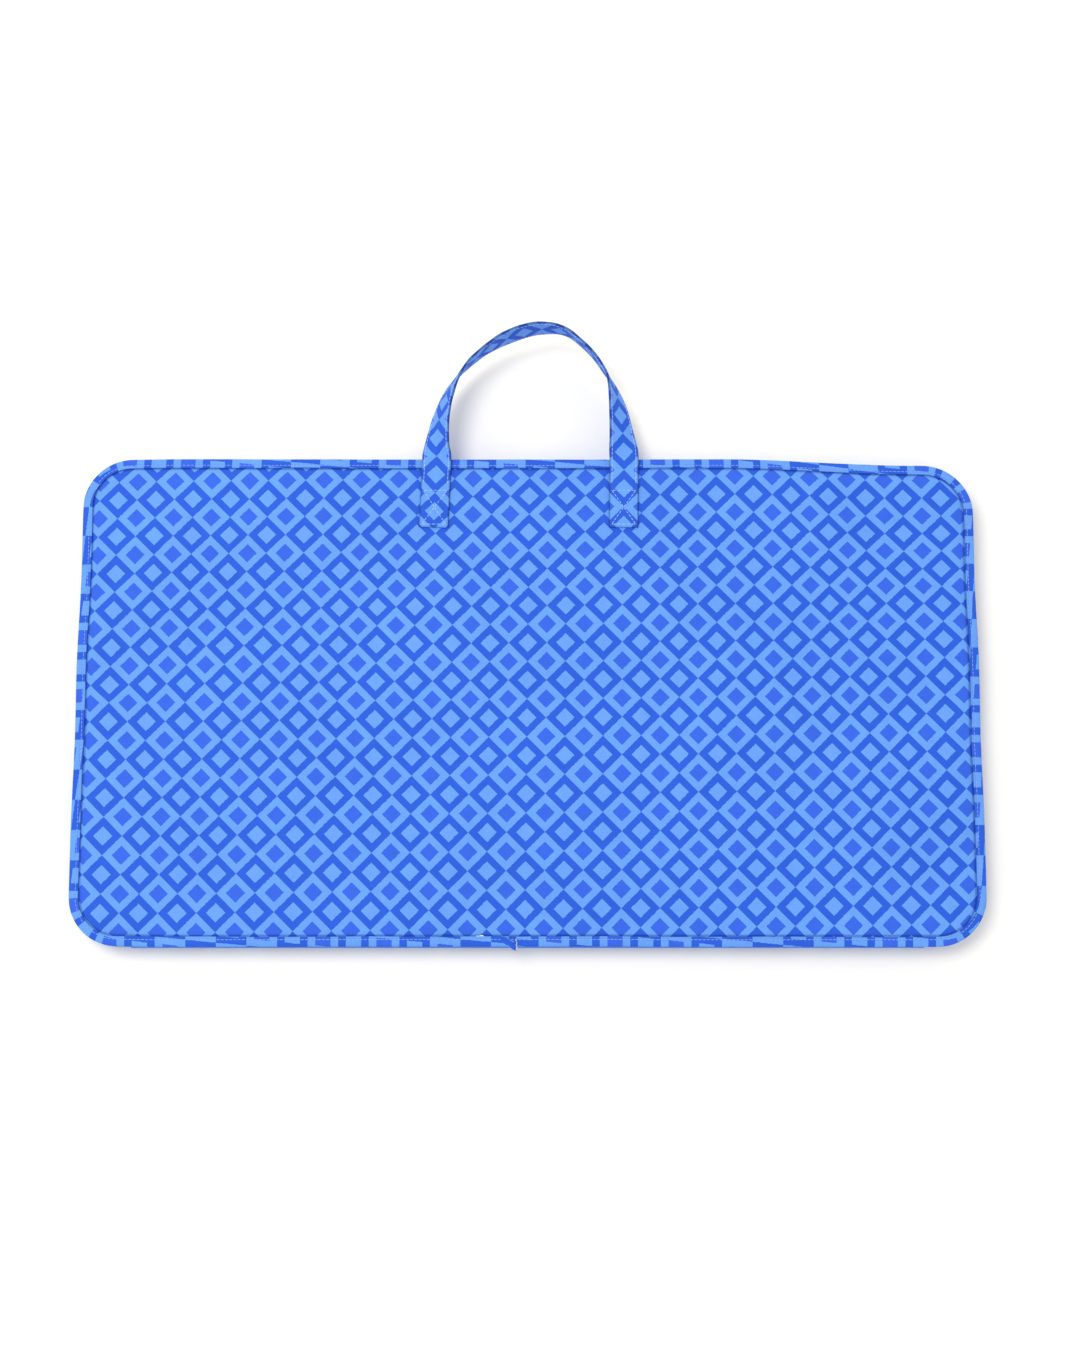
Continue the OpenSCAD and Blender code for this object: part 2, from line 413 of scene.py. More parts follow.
def canvas_material():
    n = Nodes("backing_canvas", roughness=0.9)
    weave = plain_weave(n, *n.split(n.place()), 0.9)
    n.colour(n.shade((0.70, 0.68, 0.60, 1), n.span(weave, 0, 1, 0.85, 1.05)))
    n.bump(weave, 0.12, 0.7)
    return n.material


def pile_material(name, colour, size, depth):
    n = Nodes(name, roughness=0.7, sheen=0.25)
    tuft = n.noise(n.uv("cloth"), size, 3.0, 0.7)
    n.colour(n.shade(colour, n.span(tuft, 0.3, 0.7, 0.72, 1.1)))
    n.bump(tuft, depth, 0.9)
    return n.material


# The fold arguments paint shade along the cover's gutter beside the binding, the binding's inner
# fold and the strap's folded edges.
PRINT = printed_cloth("printed_cotton", 1.0, fold=6.6, fold_width=0.9, fold_painted_shade=0.28)
TAPE_PRINT = printed_cloth("bias_print", 1.1, fold=6.0, fold_width=0.5, fold_painted_shade=0.3)
STRAP_PRINT = printed_cloth("strap_print", 1.1, fold=0.0, fold_width=1.0, fold_painted_shade=0.6)
LINING = plain_cloth("lining_twill", (0.80, 0.80, 0.76, 1), dirt=0.025)
TAPE = plain_cloth("hinge_herringbone", (0.075, 0.235, 0.80, 1), pitch=1.1, depth=0.14)
RAW_EDGE = plain_cloth("unprinted_side", (0.84, 0.86, 0.90, 1), pitch=0.5, weave=plain_weave)
THREAD = thread_material("sewing_thread", (0.27, 0.46, 0.92, 1))
STRAP_THREAD = thread_material("strap_thread", (0.44, 0.58, 0.93, 1))
PALE_THREAD = thread_material("lining_thread", (0.72, 0.74, 0.78, 1))
RAW_THREAD = thread_material("raw_thread", (0.80, 0.86, 0.95, 1))
BACKING = canvas_material()
FOAM = foam_material()
BOARD = board_material()
LOOP_PILE = pile_material("loop_pile", (0.62, 0.66, 0.76, 1), 0.7, 0.5)
HOOK_PILE = pile_material("hook_pile", (0.52, 0.56, 0.68, 1), 0.45, 0.35)

# ---- the leaf's outline


def onion(x, y, half_w, half_d, r):
    """Moves a rectangle's points so that its square rings become rings with round corners."""
    px = np.clip((np.abs(x) - (half_w - r)) / r, 0, 1)
    py = np.clip((np.abs(y) - (half_d - r)) / r, 0, 1)
    reach = np.maximum(px, py)
    share = np.minimum(px, py) / np.maximum(reach, 1e-9) * math.pi / 4
    angle = np.where(px >= py, share, math.pi / 2 - share)
    corner = (px > 0) & (py > 0)
    cx = np.sign(x) * (half_w - r + r * reach * np.cos(angle))
    cy = np.sign(y) * (half_d - r + r * reach * np.sin(angle))
    return np.where(corner, cx, x), np.where(corner, cy, y)


def edge_distance(x, y):
    """Distance inwards from the leaf's outline."""
    qx = np.abs(x) - (HALF_W - CORNER_R)
    qy = np.abs(y) - (HALF_D - CORNER_R)
    outside = np.hypot(np.maximum(qx, 0), np.maximum(qy, 0))
    return CORNER_R - outside - np.minimum(np.maximum(qx, qy), 0)


def outline_point(s, inset=0.0):
    """The point at distance s round the leaf's outline, anticlockwise from the middle of the
    -Y edge, moved inwards by inset."""
    a, b, r = HALF_W - CORNER_R, HALF_D - CORNER_R, CORNER_R
    arc = r * math.pi / 2
    ends = np.concatenate([[0], np.cumsum([a, arc, 2 * b, arc, 2 * a, arc, 2 * b, arc, a])])
    s = np.asarray(s, float) % ends[-1]
    leg = np.clip(np.searchsorted(ends, s, side="right") - 1, 0, 8)
    t = s - ends[leg]
    turn = np.array([-90, -90, 0, 0, 90, 90, 180, 180, 270])[leg] * math.pi / 180
    turn = turn + np.where(leg % 2 == 1, t / r, 0)
    cx = np.choose(leg, [t, a, a, a, a - t, -a, -a, -a, t - a])
    cy = np.choose(leg, [-b, -b, t - b, b, b, b, b - t, -b, -b])
    return cx + np.cos(turn) * (r - inset), cy + np.sin(turn) * (r - inset)


PERIMETER = 4 * (HALF_W + HALF_D) - 8 * CORNER_R + 2 * math.pi * CORNER_R


def sagging(x):
    """The share of its slump that a leaf's upper edge has at x: it sags towards one corner."""
    return smooth((x - 120) / 120)


# How far the sewn edges wander, and over how wide a rim
WANDER_SHORT_EDGE = 0.5
WANDER_LONG_EDGE = 0.35
WANDER_RIM = 60


@dataclass
class Leaf:
    """Where a leaf lies, which way up, and the small ways in which it differs from the next:
    its random seed, how far a corner slumps, which way round its slack lies, and where along
    the outline its binding's ends meet."""
    name: str
    base: float
    flipped: bool
    seed: int
    slump: float
    mirror: int
    join: float

    def place(self, points):
        """Leaf coordinates to the object's frame, with the sewn outline's slight waviness."""
        p = np.array(points, float)
        x, y = p[..., 0].copy(), p[..., 1].copy()
        rim = smooth(1 - edge_distance(x, y) / WANDER_RIM)
        p[..., 0] += WANDER_SHORT_EDGE * rim * waves(y, 0 * y, 260, 70, self.seed) * np.sign(x)
        inwards = np.clip(waves(x, 0 * x, 320, 70, self.seed + 1) - 0.5, -1.2, -0.1)
        p[..., 1] += WANDER_LONG_EDGE * rim * inwards * np.sign(y)
        p[..., 1] -= self.slump * sagging(x) * smooth((y - 20) / 120)
        p[..., 2] = self.base + (-p[..., 2] if self.flipped else p[..., 2])
        return p

    def make(self, part, points, faces, material, uv=None, edge=None):
        """A piece of this leaf, which rides on the leaf's body."""
        if self.flipped:
            faces = [f[::-1] for f in faces]
        piece = make(f"{self.name}_{part}", self.place(points), faces, material, uv, edge=edge)
        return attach(piece, f"{self.name}_leaf")


FRONT = Leaf("front", FRONT_Z, False, 11, slump=4.2, mirror=1, join=-7.0)
CENTRE = Leaf("centre", CENTRE_TOP, True, 23, slump=2.4, mirror=-1, join=95.0)
REAR = Leaf("rear", 0.0, False, 37, slump=2.4, mirror=-1, join=-120.0)
LEAVES = (FRONT, CENTRE, REAR)


# Distances of a grid's close rows from the outline, finest where the cloth dips to its seam
CLOSE_ROWS = [EDGE_INSET, 2.6, 4.4, 5.6, 6.4, 7.3, 8.4, 9.8, 11.6, 14.0, 17.0, 20.5, 25.0,
              CORNER_R]


def leaf_grid(step):
    """A grid over the leaf that follows its rounded outline, with close rows at the edge."""
    def line(half):
        middle = half - CORNER_R
        count = max(2, round(2 * middle / step))
        inner = np.linspace(-middle, middle, count + 1)
        edge = half - np.array(CLOSE_ROWS)
        return np.concatenate([-edge[:-1], inner, edge[:-1][::-1]])

    x, y = np.meshgrid(line(HALF_W), line(HALF_D), indexing="ij")
    return onion(x, y, HALF_W, HALF_D, CORNER_R)


# ---- the padded cover

GUTTER = 0.4
SHOULDER = 8.5
COVER_STEP = 4.5
LINING_STEP = 9.0
FOAM_INSET = 8.2
CLOTH_GAP = 0.04


def cover_profile(d):
    """Height of the untouched cover at distance d from the edge: flat under the binding and
    for a narrow gutter beside it, then a round shoulder up to the padded face."""
    t = np.clip((d - (BINDING_W + GUTTER)) / SHOULDER, 0, 1)
    return SEAM_TOP + (LEAF_T - SEAM_TOP) * np.sqrt(1 - (1 - t) ** 2)


# Creases of the front cover: points of each line, depth, half width, and how much the cloth
# stands up beside it. A negative depth is a ridge.
CREASE_DEPTH = 1.5
CREASES = [
    ([(-268, 70), (-217, 92), (-167, 134)], 0.9, 9, 0.5),
    ([(-250, 40), (-222, 58), (-200, 62)], 0.35, 8, 0.4),
    ([(201, 134), (214, 102), (238, 82), (268, 76)], 0.9, 8, 0.6),
    ([(228, 128), (240, 106), (262, 98)], 0.45, 7, 0.4),
    ([(270, -101), (250, -107), (228, -119)], 0.4, 7, 0.4),
    ([(228, -128), (205, -136), (176, -142)], 0.35, 6, 0.3),
    ([(-262, 22), (-246, 25), (-232, 20)], 0.35, 7, 0.3),
    ([(36, -20), (82, -8), (126, 22)], -0.35, 12, 0.0),
    ([(30, -2), (80, 10), (120, 40)], 0.3, 14, 0.0),
    ([(-112, 112), (-120, 60), (-108, 0)], 0.3, 30, 0.0),
]


def crease_height(x, y):
    """How far the creases move the front cover up or down."""
    height = np.zeros(np.shape(x))
    for line, depth, width, lip in CREASES:
        distance, side, along = distance_to_line(x, y, line)
        ends = smooth(along / 0.12) * smooth((1 - along) / 0.12)
        valley = np.exp(-((distance / width) ** 2))
        ridge = np.exp(-(((distance - 1.6 * width) / width) ** 2)) * (side > 0)
        height += CREASE_DEPTH * depth * (lip * ridge - valley) * (0.35 + 0.65 * ends)
    return height


# The slack is simulated larger than life, which makes the solver's 1 mm gaps small beside it
SLACK_GROW = 4.0
SLACK_FRAMES = 28
SLACK_LIMIT = 0.8
SLACK_CLOTH = {
    "quality": 6, "mass": 0.25, "tension_stiffness": 12, "compression_stiffness": 12,
    "shear_stiffness": 6, "bending_stiffness": 0.6, "air_damping": 3,
    "vertex_group_mass": "sewn", "shrink_min": -0.004, "shrink_max": -0.004}


def simulated_slack(x, y):
    """Small puckers of a slightly loose cloth, sewn down round its edge and laid over a board:
    the vertical movement in millimetres at each grid point."""
    scene = bpy.context.scene
    d = edge_distance(x, y)
    lift = 1.2 * smooth((d - BINDING_W) / 20) * (1 + 0.5 * waves(x, y, 120, 35, 5))
    points = np.stack([x, y, lift], -1).reshape(-1, 3) * SLACK_GROW
    sheet = make("slack_sheet", points, grid_faces(*x.shape), BOARD)
    held = sheet.vertex_groups.new(name="sewn")
    held.add([int(i) for i in np.flatnonzero((d < BINDING_W + 0.8).ravel())], 1.0, "REPLACE")
    cloth = sheet.modifiers.new("Cloth", "CLOTH")
    for setting, value in SLACK_CLOTH.items():
        setattr(cloth.settings, setting, value)
    cloth.collision_settings.distance_min = 0.001
    corners = np.array([[-1, -1], [1, -1], [1, 1], [-1, 1]]) * [HALF_W, HALF_D] * 1.1
    board = make("slack_board", np.column_stack([corners * SLACK_GROW, np.full(4, -1.0)]),
                 [[0, 1, 2, 3]], BOARD)
    board.modifiers.new("Collision", "COLLISION")
    board.collision.thickness_outer = 0.001
    for number in range(1, SLACK_FRAMES + 1):
        scene.frame_set(number)
    shape = sheet.evaluated_get(bpy.context.evaluated_depsgraph_get()).to_mesh()
    found = np.empty(len(shape.vertices) * 3)
    shape.vertices.foreach_get("co", found)
    height = found.reshape(-1, 3)[:, 2].reshape(x.shape) / SLACK_GROW / MM
    for helper in (sheet, board):
        bpy.data.objects.remove(helper)
    scene.frame_set(1)
    height = height - np.median(height[d > 30])
    spread = np.percentile(np.abs(height[d > 20]), 95)
    puckers = np.tanh(height * 0.45 / max(spread, 1e-6) / SLACK_LIMIT)
    return SLACK_LIMIT * puckers * smooth((d - 8) / 10)


GRID_X, GRID_Y = leaf_grid(COVER_STEP)
GRID_D = edge_distance(GRID_X, GRID_Y)
SLACK = simulated_slack(GRID_X, GRID_Y)


def pressed_flat(nodes, margin=3.0, fade=9.0):
    """A share from 0 to 1 over the grid that is 1 where CAD pieces are sewn down flat."""
    share = np.zeros(GRID_X.shape)
    for node in nodes:
        low, high = box_mm(node)
        dx = np.maximum(np.maximum(low[0] - GRID_X, GRID_X - high[0]), 0)
        dy = np.maximum(np.maximum(low[1] - GRID_Y, GRID_Y - high[1]), 0)
        share = np.maximum(share, smooth(1 - (np.hypot(dx, dy) - margin) / fade))
    return share


SEWN_ON_COVER = {
    "front": ["handle_tab_left", "handle_tab_right"],
    "centre": ["rear_hinge_tape_inner", "rear_hook_patch_left", "rear_hook_patch_right"],
    "rear": ["rear_hinge_tape_outer", "rear_loop_patch_left", "rear_loop_patch_right"],
}
CROWN = 0.7
PRESSED_DEPTH = 0.05


def cover_height(leaf):
    """Height of a leaf's cover over the grid, in leaf coordinates."""
    inner = smooth((GRID_D - BINDING_W) / 12)
    slack = SLACK if leaf.mirror > 0 else SLACK[::-1, ::-1]
    if leaf is FRONT:
        crown = CROWN * smooth((GRID_D - 8) / 70)
        relief = crown + inner * (0.7 * slack + crease_height(GRID_X, GRID_Y))
    else:
        relief = inner * (0.45 * slack - 0.15)
    flat = pressed_flat(SEWN_ON_COVER[leaf.name])
    return cover_profile(GRID_D) + relief * (1 - flat) - PRESSED_DEPTH * flat


# How askew the print lies, and where one of its dark cores is on each leaf
PRINT_TURN = math.radians(0.6)
PRINT_SHEAR = 0.02
PRINT_START = {"front": (-11.9, -1.1), "centre": (4.0, 7.0), "rear": (-6.0, 3.0)}


def print_uv(leaf, x, y):
    """Cloth coordinates of the printed cover. The print is cut a little askew, and the cloth
    is pulled a little out of square."""
    x0, y0 = PRINT_START[leaf.name]
    x = x - PRINT_SHEAR * y
    u = (x - x0) * math.cos(PRINT_TURN) + (y - y0) * math.sin(PRINT_TURN)
    v = (y - y0) * math.cos(PRINT_TURN) - (x - x0) * math.sin(PRINT_TURN)
    return np.stack([u, v], -1).reshape(-1, 2)


def make_cover(leaf, z):
    """The printed top of a leaf, with its upper face at the heights z over the grid."""
    points, faces = slab(GRID_X, GRID_Y, z, z - CLOTH_T)
    uv = np.tile(print_uv(leaf, GRID_X, GRID_Y), (2, 1))
    edge = np.tile(GRID_D.ravel(), 2)
    piece = leaf.make("padded_cover", points, faces, PRINT, uv, edge)
    if leaf is FRONT:
        finer = piece.modifiers.new("Finer", "SUBSURF")
        finer.levels = finer.render_levels = 1
        finer.use_limit_surface = False
    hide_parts(f"{leaf.name}_cover")


def make_foam(leaf, z):
    """The foam pad, just under the cover, squeezed flat inside the seam."""
    under = z - CLOTH_T - CLOTH_GAP
    low = np.where(GRID_D > FOAM_INSET, BOARD_TOP, SEAM_LOW + CLOTH_T)
    points, faces = slab(GRID_X, GRID_Y, under, np.minimum(low, under - 0.3))
    piece = leaf.make("foam_pad", points, faces, FOAM)
    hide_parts(f"{leaf.name}_foam")


def make_lining(leaf):
    """The plain working face: flat over the board, with a short step down to the seam."""
    x, y = leaf_grid(LINING_STEP)
    d = edge_distance(x, y)
    t = np.clip((d - (BINDING_W - 0.4)) / 3.2, 0, 1)
    outer = SEAM_LOW * (1 - np.sqrt(1 - (1 - t) ** 2))
    outer = outer + 0.05 * (1 + waves(x, y, 90, 30, leaf.seed + 5)) * smooth((d - 8) / 8)
    points, faces = slab(x, y, outer + CLOTH_T - 0.06, outer)
    uv = np.tile(np.stack([x, y], -1).reshape(-1, 2), (2, 1))
    piece = leaf.make("lining_cloth", points, faces, LINING, uv)
    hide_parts(f"{leaf.name}_lining")


# ---- stitching

SIDES = 6
# Rings of a stitch: place along it and girth, as shares
STITCH_RINGS = [(0.0, 0.45), (0.12, 0.9), (0.5, 1.0), (0.88, 0.9), (1.0, 0.45)]


def stitch_mesh(starts, ends, ups, thickness=0.42, sink=0.12):
    """One closed, slightly bowed thread for each start and end point."""
    points, faces = [], []
    turn = (2 * math.pi * np.arange(SIDES) / SIDES)[:, None]
    for a, b, up in zip(starts, ends, ups):
        run = b - a
        side = np.cross(run, up)
        side /= np.linalg.norm(side)
        first = len(points)
        for t, girth in STITCH_RINGS:
            centre = a + run * t + up * (thickness * 0.42 * math.sin(math.pi * t) - sink)
            radius = thickness / 2 * girth
            points.extend(centre + radius * (np.cos(turn) * side + np.sin(turn) * up))
        last = first + (len(STITCH_RINGS) - 1) * SIDES
        faces += grid_faces(len(STITCH_RINGS), SIDES, close_columns=True, flip=True, start=first)
        faces.append(list(range(first, first + SIDES))[::-1])
        faces.append(list(range(last, last + SIDES)))
    return np.array(points), faces


def stitch_line(path, up, gap=0.5):
    """Start, end and up direction of each stitch along a finely sampled path."""
    steps = np.linalg.norm(np.diff(path, axis=0), axis=1)
    along = np.concatenate([[0], np.cumsum(steps)])
    count = max(1, int(along[-1] / STITCH))
    marks = np.arange(count) * (along[-1] / count)

    def at(s, values):
        return np.stack([np.interp(s, along, values[:, k]) for k in range(3)], -1)

    length = along[-1] / count - gap
    return at(marks + gap / 2, path), at(marks + gap / 2 + length, path), at(marks, up)


def flat_stitches(path, sign, **sizes):
    """Stitches along a path on a face that looks straight up (sign 1) or down (-1)."""
    up = np.tile([0.0, 0.0, float(sign)], (len(path), 1))
    return stitch_mesh(*stitch_line(path, up), **sizes)


def straight(a, b, count=60):
    """A finely sampled straight path."""
    t = np.linspace(0, 1, count)[:, None]
    return np.array(a, float) * (1 - t) + np.array(b, float) * t


# ---- the binding

STITCH_INSET = 4.3
# The print on the tape, which is cut on the bias: its unit, its stretch across and its drift
BIAS_UNIT = 18.2
BIAS_STRETCH = 1.12
BIAS_DRIFT = 0.11
BINDING_STEP = 2.5
# The tape's first end lies under its last, which stands up over a short run and on the front
# leaf sticks out past the edge
LAP = 9.0
UNDER_RUN = 12.0
LIFTED_RUN = 16.0
LAP_LIFT = 0.75
LIP_LIFT = 0.45
LIP_FLARE = -3.4
PUCKER = 0.07
# Distances of the section's points from the tape's outer edge
OUTER_D = np.array([6.0, 5.75, 5.3, 4.9, 4.55, 4.3, 4.05, 3.7, 3.1, 2.4, 1.7, 1.1, 0.6, 0.25,
                    0.05])
INNER_D = np.array([6.0, 4.3, 2.4, 1.0])
SEAM_GAP = 0.02


def binding_top(d):
    """Height of the binding's upper face at distance d in from its outer edge: a soft roll
    with a shallow valley where it is stitched down."""
    roll = BIND_TOP + 0.1 + 0.45 * smooth((d - 1.0) / 3)
    rim = (BIND_TOP - BIND_BOTTOM) / 2
    fall = rim * (1 - np.sqrt(np.clip(1 - (1 - np.clip(d / rim, 0, 1)) ** 2, 0, 1)))
    valley = 0.45 * np.exp(-(((d - STITCH_INSET) / 0.5) ** 2))
    return roll - fall - valley


def binding_section(width, lift):
    """The closed section of the folded tape: distances in from its edge, and heights."""
    scale = width / BINDING_W
    z_top = binding_top(OUTER_D) + lift * smooth((OUTER_D - 0.2) / 2)
    z_low = BIND_TOP + BIND_BOTTOM - binding_top(OUTER_D) - lift * 0.2
    inner_d = INNER_D * scale + SEAM_GAP
    d = np.concatenate([OUTER_D * scale, OUTER_D[::-1] * scale, inner_d, inner_d[::-1]])
    z = np.concatenate([z_top, z_low[::-1], np.full(len(INNER_D), SEAM_LOW - SEAM_GAP),
                        np.full(len(INNER_D), SEAM_TOP + SEAM_GAP + lift * 0.8)])
    return d, z


def make_binding(leaf):
    """The bias tape folded over the edge all round, with its raw ends lapped on the -Y edge."""
    start, length = leaf.join - LAP, PERIMETER + LAP
    phase = np.random.default_rng(leaf.seed).uniform(0, 1, 2)
    rings, uvs, edges = [], [], []
    for s in start + np.linspace(0, length, int(length / BINDING_STEP) + 1):
        to_end = length - (s - start)
        lap = smooth(1 - to_end / LIFTED_RUN)
        under = smooth(1 - (s - start) / UNDER_RUN)
        flare = LIP_FLARE * lap * smooth(1 - to_end / LAP) * (leaf is FRONT)
        width = BINDING_W + 0.25 * waves(s, 0.0, 90, 12, leaf.seed + 3)
        d, z = binding_section(width, LAP_LIFT * lap)
        lip = smooth((z - BIND_TOP + 0.25) / 0.25)
        x, y = outline_point(s, d + flare * lip + 0.5 * under)
        pucker = PUCKER * math.sin(2 * math.pi * s / STITCH) * (z > 3) * (d < 5.9)
        pucker = pucker * smooth((d - 0.8) / 1.5)
        lift = LIP_LIFT * lap * lip * smooth((3 - d) / 3)
        rings.append(np.stack([x, y, z + pucker + lift - 0.15 * under], -1))
        reach = np.where(z > (BIND_TOP + BIND_BOTTOM) / 2, d, -d)
        a = s / BIAS_UNIT + phase[0]
        b = phase[1] + reach / BIAS_UNIT * BIAS_STRETCH + BIAS_DRIFT * s / BIAS_UNIT
        uvs.append(PRINT_PITCH / 2 * np.stack([a + b, a - b], -1))
        edges.append(d / width * BINDING_W)
    points, faces = swept(rings)
    piece = leaf.make("bias_binding", points, [f[::-1] for f in faces], TAPE_PRINT,
                      np.concatenate(uvs), np.concatenate(edges))
    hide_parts(f"{leaf.name}_binding")


def make_binding_stitches(leaf):
    """The stitching that holds the tape, as seen on both of its faces."""
    s = np.linspace(leaf.join + 1, leaf.join + PERIMETER - 1, 1400)
    x, y = outline_point(s, STITCH_INSET)
    z_top = float(binding_top(STITCH_INSET)) + 0.18
    z_low = BIND_TOP + BIND_BOTTOM - z_top
    for face, z, sign in (("face", z_top, 1), ("back", z_low, -1)):
        points, faces = flat_stitches(np.stack([x, y, np.full_like(x, z)], -1), sign,
                                      thickness=0.4)
        stitches = leaf.make(f"binding_stitches_{face}", points, faces, THREAD)


# ---- build the leaves

for leaf in LEAVES:
    cover_z = cover_height(leaf)
    make_cover(leaf, cover_z)
    make_foam(leaf, cover_z)
    make_lining(leaf)
    make_binding(leaf)
    make_binding_stitches(leaf)

# ---- the carry strap

STRAP_HALF = (TAB_HIGH[0] - TAB_LOW[0]) / 2
STRAP_T = TAB_HIGH[2] - TAB_LOW[2]
LEG_LEFT = (TAB_HIGH[0] + TAB_LOW[0]) / 2
LEG_RIGHT = (TAB_RIGHT_HIGH[0] + TAB_RIGHT_LOW[0]) / 2
STRAP_MIDDLE = (LEG_LEFT + LEG_RIGHT) / 2
LEG_HALF = (LEG_RIGHT - LEG_LEFT) / 2
LOOP_REACH = 83
LOOP_RISE = 2.4
LOOP_START = box_mm("handle_loop")[0][1]
FREE_Z = TAB_HIGH[2] + 0.3 - STRAP_T / 2
SEWN_Z = TAB_LOW[2] + 0.86
# Stations along the loop: across and outwards as shares of its half spacing and reach, and the
# strap's twist in degrees, as in the CAD model
LOOP_STATIONS = np.array([
    [-1, 0, 0], [-1, 0.09, 29], [-0.96, 0.3, 51], [-0.86, 0.52, 67], [-0.69, 0.7, 84],
    [-0.44, 0.85, 91], [-0.17, 0.95, 98], [0.14, 1, 94], [0.41, 0.96, 85], [0.65, 0.81, 84],
    [0.8, 0.66, 84], [0.88, 0.55, 71], [0.94, 0.38, 50], [0.98, 0.16, 30], [1, 0, 0]])
STRAP_STEP = 1.25
STRAP_FOLD = 0.9
EDGE_STITCH = STRAP_HALF - 1.65
TACK_LOW = TAB_LOW[1] + 1.8
TACK_HIGH = LOOP_START - 1.0
TACK_MIDDLE = (TACK_HIGH + TACK_LOW) / 2
TACK_HALF = (TACK_HIGH - TACK_LOW) / 2
# Where along Y a dark ring of the print is centred on each tab
LEFT_RING_Y = 115.8
RIGHT_RING_Y = 106.8
# How far each tab's lower end is sewn off to the left
LEFT_LEAN = 1.7
RIGHT_LEAN = 0.6


def smooth_curve(stations, steps):
    """A smooth curve through the stations, which runs straight on at both ends."""
    before, after = stations[0].copy(), stations[-1].copy()
    before[1], after[1] = -stations[1][1], -stations[-2][1]
    p = np.vstack([before, stations, after])
    out = []
    for a, b, c, d in zip(p, p[1:], p[2:], p[3:]):
        for t in np.arange(steps) / steps:
            out.append(0.5 * (2 * b + (c - a) * t + (2 * a - 5 * b + 4 * c - d) * t * t
                              + (3 * b - a - 3 * c + d) * t ** 3))
    return np.array(out + [stations[-1]])


def leg_x(leg, y):
    """The middle of a leg on the leaf, which is sewn on a little askew."""
    lean = LEFT_LEAN if leg == LEG_LEFT else RIGHT_LEAN
    return leg - lean * (HALF_D - y) / (HALF_D - TAB_LOW[1])


def strap_route():
    """Places along the whole strap, tab to tab: x, y, z and twist in radians."""
    curve = smooth_curve(LOOP_STATIONS, 12)
    twist = np.maximum(curve[:, 2], 0)
    loop = np.column_stack([
        STRAP_MIDDLE + curve[:, 0] * LEG_HALF, HALF_D + curve[:, 1] * LOOP_REACH,
        FREE_Z + LOOP_RISE * np.clip(twist / 90, 0, 1), np.radians(twist)])
    y = np.arange(TAB_LOW[1], HALF_D, 2.0)
    z = SEWN_Z + (FREE_Z - SEWN_Z) * smooth((y - LOOP_START + 3) / 14)
    left = np.column_stack([leg_x(LEG_LEFT, y), y, z, 0 * y])
    right = np.column_stack([leg_x(LEG_RIGHT, y), y, z, 0 * y])[::-1]
    route = np.vstack([left, loop, right])
    along = np.concatenate([[0], np.cumsum(np.linalg.norm(np.diff(route[:, :3], axis=0), axis=1))])
    marks = np.linspace(0, along[-1], int(along[-1] / STRAP_STEP) + 1)
    return marks, np.stack([np.interp(marks, along, route[:, k]) for k in range(4)], -1)


def strap_frames():
    """Distances along the strap, its middle line, and the directions across it and out of it."""
    marks, route = strap_route()
    run = np.gradient(route[:, :2], axis=0)
    run /= np.linalg.norm(run, axis=1)[:, None]
    twist = route[:, 3]
    across = np.column_stack([run[:, 1] * np.cos(twist), -run[:, 0] * np.cos(twist),
                              np.sin(twist)])
    along = np.column_stack([run, 0 * twist])
    return marks, route[:, :3], across, np.cross(along, across)


def strap_section():
    """Across and through the folded strap: round folds at both sides with a groove between
    the cloth's layers, and shallow valleys along the edge stitching."""
    w = np.concatenate([[-STRAP_HALF + 0.5, -STRAP_HALF, -STRAP_HALF + 0.25],
                        np.linspace(-STRAP_HALF + 0.7, STRAP_HALF - 0.7, 25),
                        [STRAP_HALF - 0.25, STRAP_HALF, STRAP_HALF - 0.5]])
    in_fold = np.clip((np.abs(w) - STRAP_HALF + STRAP_FOLD) / STRAP_FOLD, 0, 1)
    rounding = np.sqrt(np.clip(1 - in_fold ** 2, 0.2, 1))
    body = 0.84 + 0.12 * np.cos(np.pi * w / STRAP_HALF / 1.7)
    valley = 0.28 * np.exp(-(((np.abs(w) - EDGE_STITCH) / 0.55) ** 2))
    return w, body * rounding - valley


def tack_valley(w, y):
    """Depth of the sewn box and cross at a place on a tab."""
    off_x, off_y = np.abs(w), np.abs(y - TACK_MIDDLE)
    box = np.minimum(np.abs(off_x - EDGE_STITCH), np.abs(off_y - TACK_HALF))
    slope = TACK_HALF / EDGE_STITCH
    cross = np.abs(off_y - off_x * slope) / math.hypot(1, slope)
    inside = (off_x < EDGE_STITCH + 0.3) & (off_y < TACK_HALF + 0.3)
    return 0.26 * np.exp(-((np.minimum(box, cross) / 0.6) ** 2)) * inside


def strap_uv(marks, route, w):
    """The print runs straight along the strap, with a dark ring centred on both tabs."""
    middle = len(route) // 2
    first = marks[np.argmin(np.abs(route[:middle, 1] - LEFT_RING_Y))]
    last = marks[middle + np.argmin(np.abs(route[middle:, 1] - RIGHT_RING_Y))]
    repeats = round((last - first) / PRINT_PITCH)
    scale = repeats * PRINT_PITCH / (last - first)
    v = (marks - first) * scale + PRINT_PITCH / 2
    return np.stack(np.broadcast_arrays(w[None, :] + PRINT_PITCH / 2, v[:, None]), -1)


